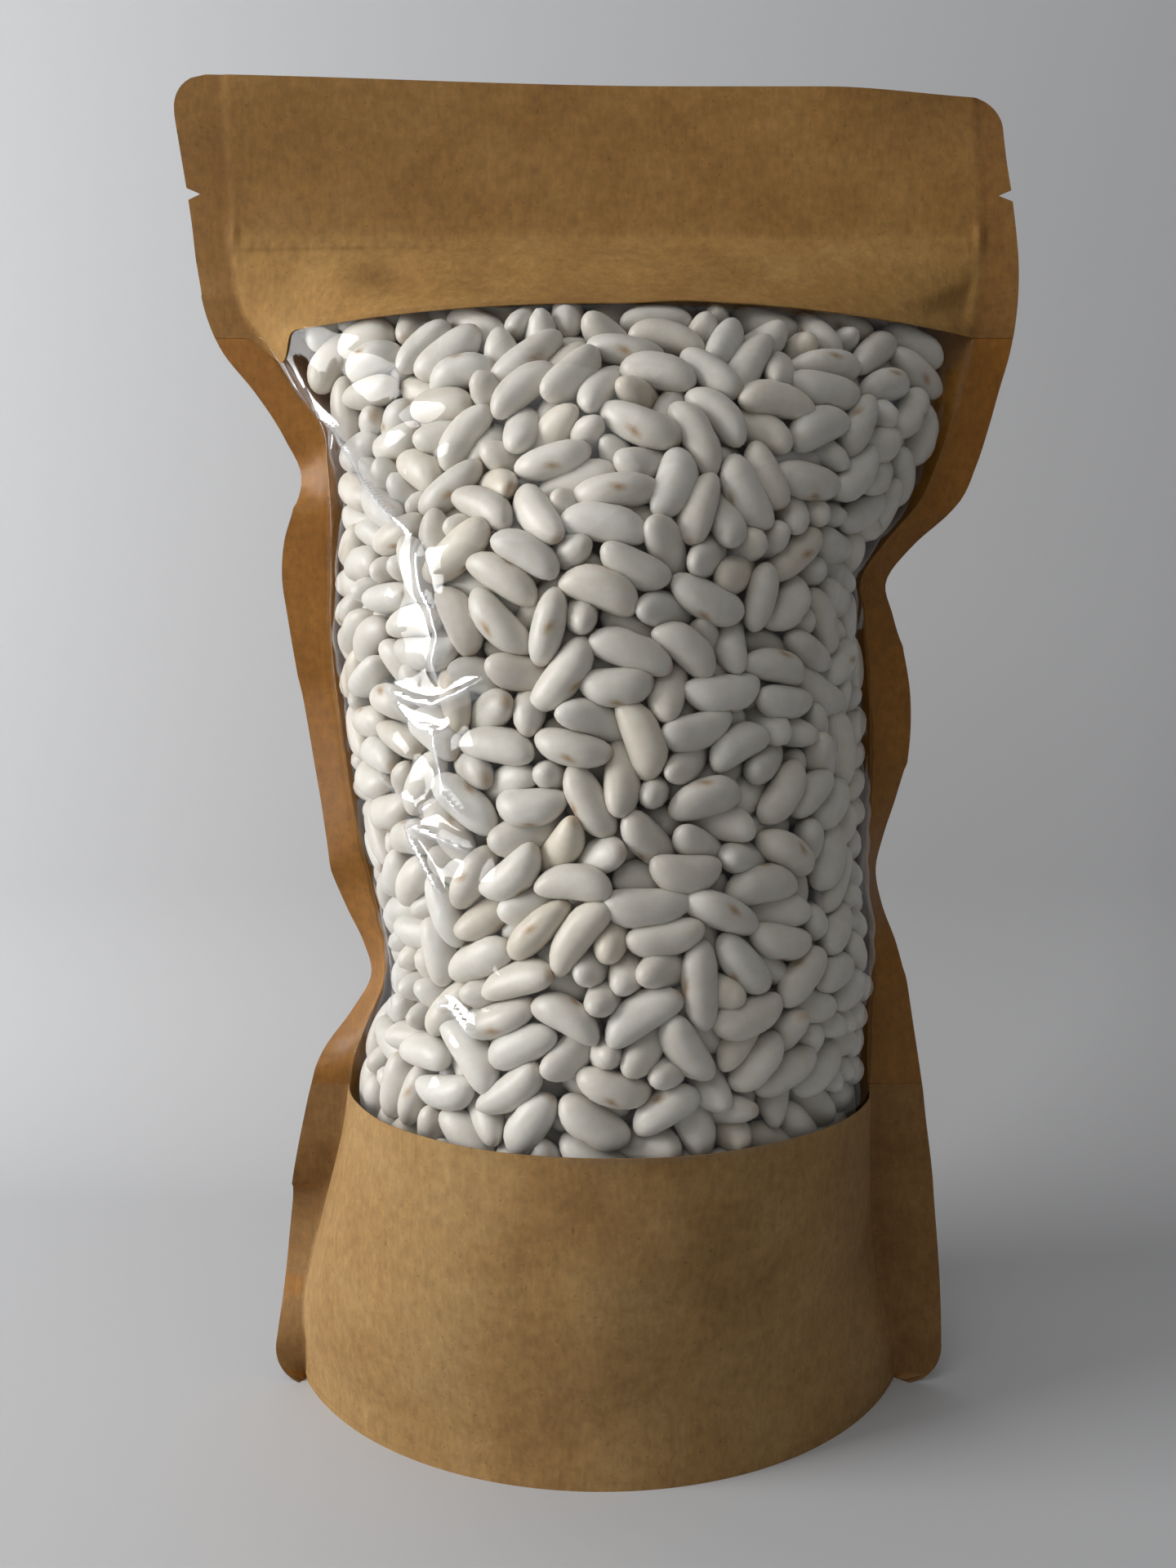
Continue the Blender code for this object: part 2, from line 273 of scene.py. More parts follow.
def colour_attribute(mesh, name, values):
    """Stores three numbers from 0 to 1 at every point, for the materials to read."""
    values = np.hstack([values, np.ones((len(values), 1))])
    attribute = mesh.color_attributes.new(name, "FLOAT_COLOR", "POINT")
    attribute.data.foreach_set("color", values.astype(np.float32).ravel())


def new_sheet(name, grid, side, thickness, materials, marks):
    """A thin sheet on a grid of points, which are its outside; the second material is its inside."""
    rows, cols = grid.shape[:2]
    faces = grid_faces(rows, cols)
    if side == BACK:
        faces = faces[:, ::-1]
    piece = new_mesh(name, grid.reshape(-1, 3), faces.tolist(), materials)
    colour_attribute(piece.data, "mark", marks.reshape(-1, 3))
    shell = piece.modifiers.new("thickness", "SOLIDIFY")
    shell.thickness = thickness * MM
    shell.offset = -1.0
    shell.material_offset = len(materials) - 1
    if thickness == PAPER:
        rim = piece.modifiers.new("sharp rim", "EDGE_SPLIT")
        rim.split_angle = math.radians(50.0)
    return piece


# ---------------------------------------------------------------- materials

def node_material(name):
    material = bpy.data.materials.new(name)
    material.use_nodes = True
    nodes = material.node_tree.nodes
    return material, nodes, material.node_tree.links, nodes["Principled BSDF"]


def noise(nodes, links, source, scale, detail=3.0, roughness=0.5, stretch=None):
    """A noise texture on object coordinates, in features per metre, perhaps stretched."""
    texture = nodes.new("ShaderNodeTexNoise")
    texture.inputs["Scale"].default_value = scale
    texture.inputs["Detail"].default_value = detail
    texture.inputs["Roughness"].default_value = roughness
    if stretch:
        mapping = nodes.new("ShaderNodeMapping")
        mapping.inputs["Scale"].default_value = stretch
        links.new(source, mapping.inputs["Vector"])
        source = mapping.outputs["Vector"]
    links.new(source, texture.inputs["Vector"])
    return texture.outputs["Fac"]


def ramp(nodes, links, factor, stops):
    """A colour ramp through (position, colour) stops."""
    node = nodes.new("ShaderNodeValToRGB")
    elements = node.color_ramp.elements
    while len(elements) < len(stops):
        elements.new(0.5)
    for element, (position, colour) in zip(elements, stops):
        element.position = position
        element.color = (*colour, 1.0)
    links.new(factor, node.inputs["Fac"])
    return node.outputs["Color"]


def mix(nodes, links, factor, first, second, blend="MIX"):
    """Blend of two colours; factor, first and second are sockets or plain values."""
    node = nodes.new("ShaderNodeMix")
    node.data_type = "RGBA"
    node.blend_type = blend
    sockets = ((node.inputs["Factor"], factor), (node.inputs["A"], first), (node.inputs["B"], second))
    for socket, value in sockets:
        if isinstance(value, bpy.types.NodeSocket):
            links.new(value, socket)
        elif isinstance(value, tuple):
            socket.default_value = (*value, 1.0)
        else:
            socket.default_value = value
    return node.outputs["Result"]


def number(nodes, links, factor, low, high):
    """The factor from 0 to 1 turned into a number from low to high."""
    node = nodes.new("ShaderNodeMapRange")
    node.inputs["To Min"].default_value = low
    node.inputs["To Max"].default_value = high
    links.new(factor, node.inputs["Value"])
    return node.outputs["Result"]


def attribute(nodes, links, name):
    """The three channels of a colour attribute."""
    node = nodes.new("ShaderNodeAttribute")
    node.attribute_name = name
    parts = nodes.new("ShaderNodeSeparateColor")
    links.new(node.outputs["Color"], parts.inputs["Color"])
    return [parts.outputs[k] for k in ("Red", "Green", "Blue")]


def bump(nodes, links, height, distance, strength, shader):
    node = nodes.new("ShaderNodeBump")
    node.inputs["Distance"].default_value = distance * MM
    node.inputs["Strength"].default_value = strength
    links.new(height, node.inputs["Height"])
    links.new(node.outputs["Normal"], shader.inputs["Normal"])


def kraft_material(name, dark, mid, light, roughness, coat):
    """Brown kraft paper: cloudy pulp, fine mottling, short fibres and a few dark specks.

    The colour attribute "mark" holds the pressed seals with painted shade above the closure, painted shade
    in the zip line and a dent, and a warmer tint towards the top.
    """
    material, nodes, links, shader = node_material(name)
    place = nodes.new("ShaderNodeTexCoord").outputs["Object"]
    seal, crease, warm = attribute(nodes, links, "mark")
    cloud = noise(nodes, links, place, 42.0, 5.0, 0.62)
    pulp = noise(nodes, links, place, 420.0, 3.0, 0.6)
    fibre = noise(nodes, links, place, 1100.0, 3.0, 0.65, (1.0, 1.0, 0.3))
    cross = noise(nodes, links, place, 1300.0, 3.0, 0.65, (0.28, 1.0, 1.0))
    speck = noise(nodes, links, place, 1500.0, 1.0, 0.5)
    colour = ramp(nodes, links, cloud, [(0.28, dark), (0.5, mid), (0.74, light)])
    layers = ((pulp, 0.3, (0.82, 0.8, 0.76), 0.7, (1.15, 1.15, 1.13), 0.8),
              (fibre, 0.32, (0.82, 0.8, 0.77), 0.68, (1.12, 1.12, 1.12), 0.6),
              (cross, 0.62, (1.0, 1.0, 1.0), 0.74, (1.35, 1.35, 1.3), 0.6),
              (speck, 0.7, (1.0, 1.0, 1.0), 0.76, (0.55, 0.5, 0.45), 0.7))
    for texture, start, low, end, high, weight in layers:
        grain = ramp(nodes, links, texture, [(start, low), (end, high)])
        colour = mix(nodes, links, weight, colour, grain, "MULTIPLY")
    # the first tint darkens the real pressed seals and, as painted shade, the paper above the closure; the
    # second is painted shade in the zip line and a shoulder dent
    for factor, tint in ((seal, (0.72, 0.64, 0.56)), (crease, (0.6, 0.52, 0.45)), (warm, (1.1, 1.03, 0.82))):
        colour = mix(nodes, links, factor, colour, tint, "MULTIPLY")
    links.new(colour, shader.inputs["Base Color"])
    links.new(number(nodes, links, pulp, roughness - 0.08, roughness + 0.08), shader.inputs["Roughness"])
    shader.inputs["Specular IOR Level"].default_value = 0.3
    shader.inputs["Coat Weight"].default_value = coat
    shader.inputs["Coat Roughness"].default_value = 0.16
    bump(nodes, links, fibre, 0.05, 0.3, shader)
    return material


def film_material():
    """Clear glossy film: see-through, with reflections that grow towards grazing angles.

    The colour attribute "mark" holds how far the film is doubled up in a fold, which makes it hazy.
    """
    material, nodes, links, shader = node_material("clear_film")
    nodes.remove(shader)
    place = nodes.new("ShaderNodeTexCoord").outputs["Object"]
    fold = attribute(nodes, links, "mark")[0]
    ripple = noise(nodes, links, place, 160.0, 2.0, 0.5)
    bend = nodes.new("ShaderNodeBump")
    bend.inputs["Distance"].default_value = 0.25 * MM
    bend.inputs["Strength"].default_value = 0.35
    links.new(ripple, bend.inputs["Height"])
    facing = nodes.new("ShaderNodeLayerWeight")
    facing.inputs["Blend"].default_value = 0.5
    links.new(bend.outputs["Normal"], facing.inputs["Normal"])
    grazing = nodes.new("ShaderNodeMath")
    grazing.operation = "POWER"
    grazing.inputs[1].default_value = 5.0
    links.new(facing.outputs["Facing"], grazing.inputs[0])
    mirror = number(nodes, links, grazing.outputs["Value"], 0.016, 0.35)
    doubled = nodes.new("ShaderNodeMath")
    doubled.operation = "MULTIPLY_ADD"
    doubled.inputs[1].default_value = 0.3
    links.new(fold, doubled.inputs[0])
    links.new(mirror, doubled.inputs[2])
    gloss = nodes.new("ShaderNodeBsdfGlossy")
    links.new(number(nodes, links, fold, 0.06, 0.2), gloss.inputs["Roughness"])
    links.new(bend.outputs["Normal"], gloss.inputs["Normal"])
    clear = nodes.new("ShaderNodeBsdfTransparent")
    clear.inputs["Color"].default_value = (0.985, 0.985, 0.985, 1.0)
    cover = nodes.new("ShaderNodeMixShader")
    links.new(doubled.outputs["Value"], cover.inputs["Fac"])
    haze = nodes.new("ShaderNodeBsdfDiffuse")
    haze.inputs["Color"].default_value = (0.85, 0.85, 0.86, 1.0)
    veil = nodes.new("ShaderNodeMixShader")
    links.new(number(nodes, links, fold, 0.0, 0.2), veil.inputs["Fac"])
    links.new(clear.outputs["BSDF"], veil.inputs[1])
    links.new(haze.outputs["BSDF"], veil.inputs[2])
    links.new(veil.outputs["Shader"], cover.inputs[1])
    links.new(gloss.outputs["BSDF"], cover.inputs[2])
    links.new(cover.outputs["Shader"], nodes["Material Output"].inputs["Surface"])
    return material


def bean_material():
    """Dry bean skin: off-white, each bean a little different, with tan scars and fine wrinkles.

    The colour attribute "skin" holds each bean's tone and warmth and where its scar and tips are.
    """
    material, nodes, links, shader = node_material("bean")
    place = nodes.new("ShaderNodeTexCoord").outputs["Object"]
    tone, warmth, scar = attribute(nodes, links, "skin")
    colour = ramp(nodes, links, tone, [(0.0, (0.58, 0.545, 0.485)), (0.3, (0.62, 0.59, 0.53)),
                                       (1.0, (0.665, 0.635, 0.575))])
    warm = ramp(nodes, links, warmth, [(0.0, (0.975, 1.0, 1.03)), (0.55, (1.0, 1.0, 1.0)),
                                       (0.85, (1.02, 0.985, 0.93)), (1.0, (1.02, 0.96, 0.87))])
    colour = mix(nodes, links, 1.0, colour, warm, "MULTIPLY")
    cloud = noise(nodes, links, place, 320.0, 3.0, 0.6)
    patch = ramp(nodes, links, cloud, [(0.35, (0.92, 0.9, 0.86)), (0.65, (1.03, 1.03, 1.03))])
    colour = mix(nodes, links, 0.7, colour, patch, "MULTIPLY")
    colour = mix(nodes, links, scar, colour, (0.36, 0.23, 0.11))
    links.new(colour, shader.inputs["Base Color"])
    wrinkle = noise(nodes, links, place, 900.0, 3.0, 0.6)
    links.new(number(nodes, links, cloud, 0.32, 0.48), shader.inputs["Roughness"])
    shader.inputs["Specular IOR Level"].default_value = 0.45
    shader.inputs["Subsurface Weight"].default_value = 0.12
    shader.inputs["Subsurface Scale"].default_value = 0.002
    bump(nodes, links, wrinkle, 0.08, 0.3, shader)
    return material


def plain_material(name, colour, roughness):
    material, _, _, shader = node_material(name)
    shader.inputs["Base Color"].default_value = (*colour, 1.0)
    shader.inputs["Roughness"].default_value = roughness
    return material


def backdrop_material(colour):
    """Matt backdrop that is only there from its front, so that the pouch can be seen from behind."""
    material, nodes, links, shader = node_material("backdrop")
    shader.inputs["Base Color"].default_value = (*colour, 1.0)
    shader.inputs["Roughness"].default_value = 0.8
    clear = nodes.new("ShaderNodeBsdfTransparent")
    sides = nodes.new("ShaderNodeMixShader")
    links.new(nodes.new("ShaderNodeNewGeometry").outputs["Backfacing"], sides.inputs["Fac"])
    links.new(shader.outputs["BSDF"], sides.inputs[1])
    links.new(clear.outputs["BSDF"], sides.inputs[2])
    links.new(sides.outputs["Shader"], nodes["Material Output"].inputs["Surface"])
    return material


# ---------------------------------------------------------------- paper and film

def paper_relief(a, z, side):
    """Soft dents of the paper where it lies on the beans."""
    seed = 21 if side == FRONT else 31
    relief = 0.9 * value_noise(a / 34.0 + 5.0, z / 30.0, seed)
    relief += 0.35 * value_noise(a / 13.0, z / 12.0 + 3.0, seed + 1)
    relief *= 1.0 - smooth(HALF - 14.0, HALF, np.abs(a))
    relief *= (1.0 - smooth(CLOSURE - 16.0, CLOSURE - 2.0, z)) * smooth(0.0, 12.0, z)
    if side == FRONT:
        relief += shoulder_dents(a, z)
    return relief


def blob(a, z, middle_a, middle_z, wide, high):
    return np.exp(-((a - middle_a) / wide) ** 2 - ((z - middle_z) / high) ** 2)


def shoulder_dents(a, z):
    """Dents where the front paper drops from the closure to the beans."""
    dents = -1.3 * blob(a, z, -46.0, 243.5, 6.0, 4.0) + 0.6 * blob(a, z, -60.0, 241.0, 6.0, 5.0)
    dents += 0.7 * blob(a, z, 10.0, 241.0, 16.0, 4.0) - 0.5 * blob(a, z, 34.0, 244.0, 8.0, 3.0)
    fold_line = 234.0 + 0.6 * (a - 60.0)
    tucked = smooth(0.0, 6.0, fold_line - z) * smooth(54.0, 68.0, a) * (1.0 - smooth(HALF - 3.0, HALF, a))
    tucked *= smooth(WINDOW_HIGH, WINDOW_HIGH + 7.0, z)
    dents = dents * (1.0 - smooth(CLOSURE - 5.0, CLOSURE, z)) * smooth(WINDOW_HIGH, WINDOW_HIGH + 4.0, z)
    return dents - 1.6 * tucked


def weld_line(a, z):
    """The pressed band of the side seals and the hidden zip, embossed with its row of teeth."""
    pressed = -0.18 * smooth(HALF - 0.6, HALF + 0.6, np.abs(a))
    within = 1.0 - smooth(HALF - 3.0, HALF, np.abs(a))
    step = 0.3 * np.exp(-((z - ZIP - 1.2) / 1.4) ** 2) * within
    teeth = 0.07 * np.cos(2.0 * math.pi * a / 3.0) * np.exp(-((z - ZIP - 1.0) / 0.8) ** 2)
    end = 0.6 * blob(np.abs(a), z, HALF - 0.3, ZIP + 3.0, 0.7, 3.0)
    return pressed + step + teeth * within * smooth(10.0, 50.0, -a) + end


def paper_marks(a, z, side):
    """Pressed seals with painted shade above the closure, painted shade in the zip line and a dent, and a
    warmer tint towards the top, from 0 to 1.
    """
    seal = smooth(HALF - 0.8, HALF + 0.8, np.abs(a))
    # painted shade: darkens the paper above the closure, where less light falls; it shares the first channel
    # with the real pressed seals
    painted_top_shade = 0.65 * smooth(CLOSURE - 5.0, CLOSURE + 4.0, z)
    crease = np.zeros_like(a)
    if side == FRONT:
        # painted shadow under the zip's step, and painted shade in the dent at the left shoulder
        crease += 0.5 * np.exp(-((z - ZIP) / 0.5) ** 2) * (1.0 - smooth(-60.0, -15.0, a)) * (1.0 - seal)
        crease += 0.35 * blob(a, z, -46.0, 243.0, 5.0, 3.5)
    warm = smooth(90.0, 240.0, z)
    return np.stack([np.maximum(seal, painted_top_shade), crease, warm], axis=-1)


def sheet_columns(step):
    """Values of a from edge to edge, with a column on both seal lines."""
    body = spread(-HALF, HALF, step)
    seal = spread(HALF, HALF + SEAL, 1.0)[1:]
    return np.concatenate([-seal[::-1], body, seal])


def make_paper(name, low, high, step, side, materials):
    """A panel of paper from height low to high, with its dents and welds."""
    notch = [NOTCH_HEIGHT + k * NOTCH_SIZE / NOTCH_SLOPE for k in (-1, 0, 1)]
    inside = [value for value in notch if low < value < high]
    z, a = np.meshgrid(spread(low, high, step, inside), sheet_columns(step), indexing="ij")
    if low == WINDOW_HIGH:
        dip = smooth(-72.0, -HALF + 0.5, a) * smooth(-HALF - 2.5, -HALF, a)
        z = z - 5.5 * dip * (1.0 - smooth(0.0, 14.0, z - low))
    grid = panel(a, z, side)
    relief = weld_line(a, z) + paper_relief(a, z, side)
    grid = grid + relief[..., None] * normals(grid, side)
    return new_sheet(name, grid, side, PAPER, materials, paper_marks(a, z, side))


def make_gusset(kraft):
    """The base: a panel folded up between the two lower edges, pressed nearly flat."""
    columns = np.linspace(-HALF + 1.0, HALF - 1.0, 90)
    across = np.linspace(0.0, 1.0, 31)
    front = panel(columns, np.full(90, 1.5), FRONT)
    back = panel(columns, np.full(90, 1.5), BACK)
    share = across[:, None, None]
    grid = front[None] * (1 - share) + back[None] * share
    inward = np.clip(4.0 * across * (1 - across), 0.0, 1.0)[:, None]
    grid[..., 2] += 1.4 * inward + 0.5 * np.exp(-((across - 0.5) / 0.03) ** 2)[:, None] * inward
    return new_sheet("base_gusset", grid, BACK, PAPER, [kraft], np.zeros_like(grid))


def bean_lumps(a, z, place, axis):
    """How far the beans just behind the film push it out."""
    depth, inward = depth_in(place)
    bean_a = HALF * place_across(place)
    across = np.cross([0.0, 0.0, 1.0], -inward)
    across /= np.linalg.norm(across, axis=1, keepdims=True)
    along_a = (axis * across).sum(axis=1)
    along_z = axis[:, 2]
    lumps = np.zeros(np.shape(a))
    for k in np.nonzero(depth < LUMP_DEPTH)[0]:
        da, dz = a - bean_a[k], z - place[k, 2]
        u = da * along_a[k] + dz * along_z[k]
        v = dz * along_a[k] - da * along_z[k]
        push = 0.55 * smooth(LUMP_DEPTH, 4.0, depth[k])
        lumps = np.maximum(lumps, push * np.exp(-(u / 6.0) ** 2 - (v / 3.4) ** 2))
    return lumps


def make_film(film, place, axis):
    """The clear window, tucked under the paper above and below it."""
    low, high = WINDOW_LOW - FILM_TUCK, WINDOW_HIGH + FILM_TUCK
    columns = spread(-HALF - 0.6, HALF + 0.6, FILM_STEP)
    z, a = np.meshgrid(spread(low, high, FILM_STEP), columns, indexing="ij")
    grid = panel(a, z, FRONT)
    relief = 0.3 * value_noise(a / 14.0, z / 11.0, 41) + bean_lumps(a, z, place, axis)
    doubled = np.zeros_like(a)
    for route, height, width, share in FOLDS:
        crest = ridge(a, z, route, 1.0, width)
        relief += height * crest
        doubled = np.maximum(doubled, share * ridge(a, z, route, 1.0, 1.5 * width))
    relief = relief * smooth(0.0, 5.0, HALF - np.abs(a)) - 0.14
    under = smooth(0.0, 2.0, np.minimum(z - low - 1.0, high - 1.0 - z))
    off = relief * under - 0.5 * (1.0 - under)
    grid = grid + off[..., None] * normals(grid, FRONT)
    marks = np.stack([doubled, np.zeros_like(a), np.zeros_like(a)], axis=-1)
    return new_sheet("film_window", grid, FRONT, FILM, [film], marks)


# ---------------------------------------------------------------- beans

def depth_in(points):
    """Depth of each point behind the film, and the direction straight inwards."""
    z = points[:, 2]
    middle, radius, centre = (np.interp(z, LEVELS, TUBE[k]) for k in range(3))
    d_middle, d_radius, d_centre = (np.interp(z, LEVELS, TUBE_SLOPE[k]) for k in range(3))
    dx, dy = points[:, 0] - middle, points[:, 1] - centre
    rho = np.maximum(np.hypot(dx, dy), 1e-6)
    slope = d_radius + (dx * d_middle + dy * d_centre) / rho
    inward = np.stack([-dx / rho, -dy / rho, slope], axis=1)
    steep = np.linalg.norm(inward, axis=1, keepdims=True)
    return (radius - rho) / steep[:, 0], inward / steep


def place_across(points):
    """Where the points are across the panel in front of them, from -1 to 1 between the seals."""
    s = Section(points[:, 2])
    return np.arctan2(points[:, 0] - s.middle, s.radius * np.cos(s.angle) - points[:, 1]) / s.angle


def start_beans(count):
    """Scattered beans: most lie across the pouch, some lean, a few point outwards."""
    a = rng.uniform(-HALF + 3.0, HALF - 3.0, count)
    z = rng.uniform(BEANS_LOW + 4.0, BEANS_HIGH - 3.0, count)
    place = panel(a, z, FRONT)
    _, inward = depth_in(place)
    place = place + inward * rng.uniform(4.0, SHELL - 4.0, count)[:, None]
    across = np.cross(inward, [0.0, 0.0, 1.0])
    across /= np.linalg.norm(across, axis=1, keepdims=True)
    up = np.cross(across, inward)
    lean = rng.normal(0.0, math.radians(32.0), count)
    outward = np.where(rng.uniform(size=count) < 0.16, rng.uniform(0.9, 2.0, count),
                       rng.normal(0.0, 0.22, count))
    axis = across * np.cos(lean)[:, None] + up * np.sin(lean)[:, None] + inward * outward[:, None]
    return place, axis / np.linalg.norm(axis, axis=1, keepdims=True)


def settle_beans(place, axis, steps):
    """Pushes overlapping beans apart inside the shell behind the film.

    Each bean is three balls in a row, which push on the balls of other beans and on the film.
    """
    count = len(place)
    reach = 0.5 * BEAN_LENGTH - BALL_END
    offsets = np.array([-reach, 0.0, reach])
    size = np.tile([BALL_END, BALL_MIDDLE, BALL_END], count)
    owner = np.repeat(np.arange(count), 3)
    for step in range(steps):
        balls = (place[:, None] + axis[:, None] * offsets[None, :, None]).reshape(-1, 3)
        push = np.zeros_like(balls)
        if step % 4 == 0:
            flat = balls.astype(np.float32)
            square = (flat ** 2).sum(1)
            apart = square[:, None] + square[None] - 2.0 * flat @ flat.T
            first, second = np.nonzero(apart < NEAR ** 2)
            keep = (first < second) & (owner[first] != owner[second])
            first, second = first[keep], second[keep]
        gap = balls[first] - balls[second]
        length = np.maximum(np.linalg.norm(gap, axis=1), 1e-6)
        overlap = size[first] + size[second] - length
        hit = overlap > 0.0
        move = gap[hit] * (0.5 * overlap[hit] / length[hit])[:, None]
        for k in range(3):
            push[:, k] += np.bincount(first[hit], move[:, k], len(balls))
            push[:, k] -= np.bincount(second[hit], move[:, k], len(balls))
        deep, inward = depth_in(balls)
        by_paper = smooth(WINDOW_HIGH - 6.0, WINDOW_HIGH + 2.0, balls[:, 2])
        by_paper += 1.0 - smooth(WINDOW_LOW - 1.0, WINDOW_LOW + 7.0, balls[:, 2])
        room = FILM_ROOM + (PAPER_ROOM - FILM_ROOM) * by_paper
        push += inward * np.clip(size + room - deep, 0.0, None)[:, None]
        push -= inward * np.clip(deep + size - SHELL, 0.0, None)[:, None] * 0.6
        push -= inward * 0.03
        push[:, 2] += np.clip(BEANS_LOW + size - balls[:, 2], 0.0, None)
        push[:, 2] -= np.clip(balls[:, 2] + size - BEANS_HIGH, 0.0, None)
        push[:, 1] -= np.clip(balls[:, 1] + size - BEHIND, 0.0, None)
        push = push.reshape(count, 3, 3)
        place = place + PUSH_EASE * push.mean(axis=1) * PUSH_BOOST
        turn = (push * offsets[None, :, None]).sum(axis=1) / (offsets ** 2).sum()
        axis = axis + TURN_EASE * turn
        axis /= np.linalg.norm(axis, axis=1, keepdims=True)
    return place, axis


def bean_shape(around, along):
    """Unit bean: points, faces and, for each point, its place along and round the bean."""
    t = -np.cos(np.linspace(0.0, math.pi, along + 1))[1:-1]
    angle = np.linspace(0.0, 2.0 * math.pi, around, endpoint=False)
    girth = (1.0 - np.abs(t) ** 2.5) ** 0.5
    x = np.repeat(t, around)
    y = (girth[:, None] * np.cos(angle)).ravel()
    z = (girth[:, None] * np.sin(angle)).ravel()
    points = np.vstack([np.stack([x, y, z], axis=1), [[-1.0, 0.0, 0.0]], [[1.0, 0.0, 0.0]]])
    rows = along - 1
    i = np.arange(rows - 1)[:, None] * around + np.arange(around)[None]
    j = np.arange(rows - 1)[:, None] * around + (np.arange(around)[None] + 1) % around
    quads = np.stack([i, j, j + around, i + around], axis=-1).reshape(-1, 4)
    ring = np.arange(around)
    turn = (ring + 1) % around
    last = (rows - 1) * around
    low_cap = np.stack([np.full(around, rows * around), turn, ring], axis=1)
    high_cap = np.stack([np.full(around, rows * around + 1), last + ring, last + turn], axis=1)
    return points, quads, np.vstack([low_cap, high_cap])


def new_beans(name, place, axis, inward, material, around, along):
    """One mesh of many beans, each with its own size, bend, roll and colouring."""
    count = len(place)
    points, quads, caps = bean_shape(around, along)
    long = BEAN_LENGTH * rng.uniform(0.9, 1.14, count)
    wide = BEAN_WIDTH * rng.uniform(0.93, 1.1, count)
    thick = BEAN_THICKNESS * rng.uniform(0.92, 1.08, count)
    curl = rng.uniform(0.5, 1.9, count)
    taper = rng.uniform(-0.12, 0.12, count)
    roll = np.where(rng.uniform(size=count) < 0.3, rng.uniform(-math.pi, math.pi, count),
                    rng.normal(0.0, 0.5, count))
    side = np.cross(inward, axis)
    side /= np.maximum(np.linalg.norm(side, axis=1, keepdims=True), 1e-6)
    side *= rng.choice([-1.0, 1.0], count)[:, None]
    up = np.cross(axis, side)
    width_axis = side * np.cos(roll)[:, None] + up * np.sin(roll)[:, None]
    thick_axis = np.cross(axis, width_axis)
    x, y, z = points.T
    girth = 1.0 + taper[:, None] * x
    local_y = 0.5 * wide[:, None] * girth * y - curl[:, None] * (x ** 2 - 0.35)
    dent = np.exp(-(x / 0.28) ** 2) * np.clip(y, 0.0, None) ** 4
    local_y = local_y - 0.45 * dent
    local_x = 0.5 * long[:, None] * x
    local_z = 0.5 * thick[:, None] * girth * z
    world = (place[:, None] + axis[:, None] * local_x[..., None]
             + width_axis[:, None] * local_y[..., None] + thick_axis[:, None] * local_z[..., None])
    step = np.arange(count)[:, None, None] * len(points)
    faces = (quads[None] + step).reshape(-1, 4).tolist() + (caps[None] + step).reshape(-1, 3).tolist()
    piece = new_mesh(name, world.reshape(-1, 3), faces, [material])
    scar = np.exp(-(x / 0.17) ** 2 - ((y - 1.0) / 0.24) ** 2 - (z / 0.24) ** 2)
    tip = np.exp(-((np.abs(x) - 1.0) / 0.06) ** 2)
    tips = np.clip(rng.uniform(-0.5, 0.75, count), 0.0, None)[:, None] * (x > 0.0)
    mark = np.clip(scar[None] + tip[None] * tips, 0.0, 1.0)
    tone = np.repeat(rng.uniform(0.0, 1.0, count), len(points))
    warmth = np.repeat(rng.beta(2.0, 2.6, count), len(points))
    colour_attribute(piece.data, "skin", np.stack([tone, warmth, mark.ravel()], axis=1))
    return piece


def make_core(material):
    """The filling behind the loose beans, a lumpy solid that only shows between them."""
    inset = SHELL - 4.0
    levels = spread(6.0, BEANS_HIGH - 9.0, 3.0)
    share = np.linspace(-1.0, 1.0, CORE_COLUMNS)
    rings = []
    for level in levels:
        z = np.full(CORE_COLUMNS, level)
        s = Section(z)
        radius = np.maximum(s.radius - inset, 3.0)
        half = np.minimum(s.angle, 1.45) * 0.96
        lump = 1.2 * value_noise(share * 9.0 + 20.0, z / 7.0, 51)
        x = s.middle + (radius + lump) * np.sin(half * share)
        y = np.minimum(s.radius * np.cos(s.angle) - (radius + lump) * np.cos(half * share), -1.0)
        front = np.stack([x, y, z], axis=1)
        back = front[1:-1][::-1] * [1.0, -1.0, 1.0]
        rings.append(np.vstack([front, back]))
    rings = np.array(rings)
    rows, cols = rings.shape[:2]
    i = np.arange(rows - 1)[:, None] * cols + np.arange(cols)[None]
    j = np.arange(rows - 1)[:, None] * cols + (np.arange(cols)[None] + 1) % cols
    sides = np.stack([i, j, j + cols, i + cols], axis=-1).reshape(-1, 4).tolist()
    caps = [list(range(cols))[::-1], list(range((rows - 1) * cols, rows * cols))]
    return new_mesh("bean_core", rings.reshape(-1, 3), sides + caps, [material])


# ---------------------------------------------------------------- stage

def make_stage():
    """A pale floor that curves up into a wall behind the pouch."""
    bend, wall, near, width, top = 90.0, 190.0, -900.0, 1400.0, 1300.0
    turn = np.linspace(0.0, 0.5 * math.pi, 17)
    profile = [(near, 0.0)] + [(wall - bend + bend * math.sin(t), bend - bend * math.cos(t)) for t in turn]
    profile.append((wall, top))
    points = np.array([(x, y, z) for y, z in profile for x in (-width, width)])
    faces = grid_faces(len(profile), 2).tolist()
    new_mesh("floor", points, faces, [backdrop_material(BACKDROP)])


def add_lamp(name, location, target, width, height, power):
    data = bpy.data.lights.new(name, "AREA")
    data.shape = "RECTANGLE"
    data.size = width
    data.size_y = height
    data.energy = power
    lamp = bpy.data.objects.new(name, data)
    bpy.context.scene.collection.objects.link(lamp)
    lamp.location = location
    lamp.rotation_euler = (Vector(target) - Vector(location)).to_track_quat("-Z", "Y").to_euler()


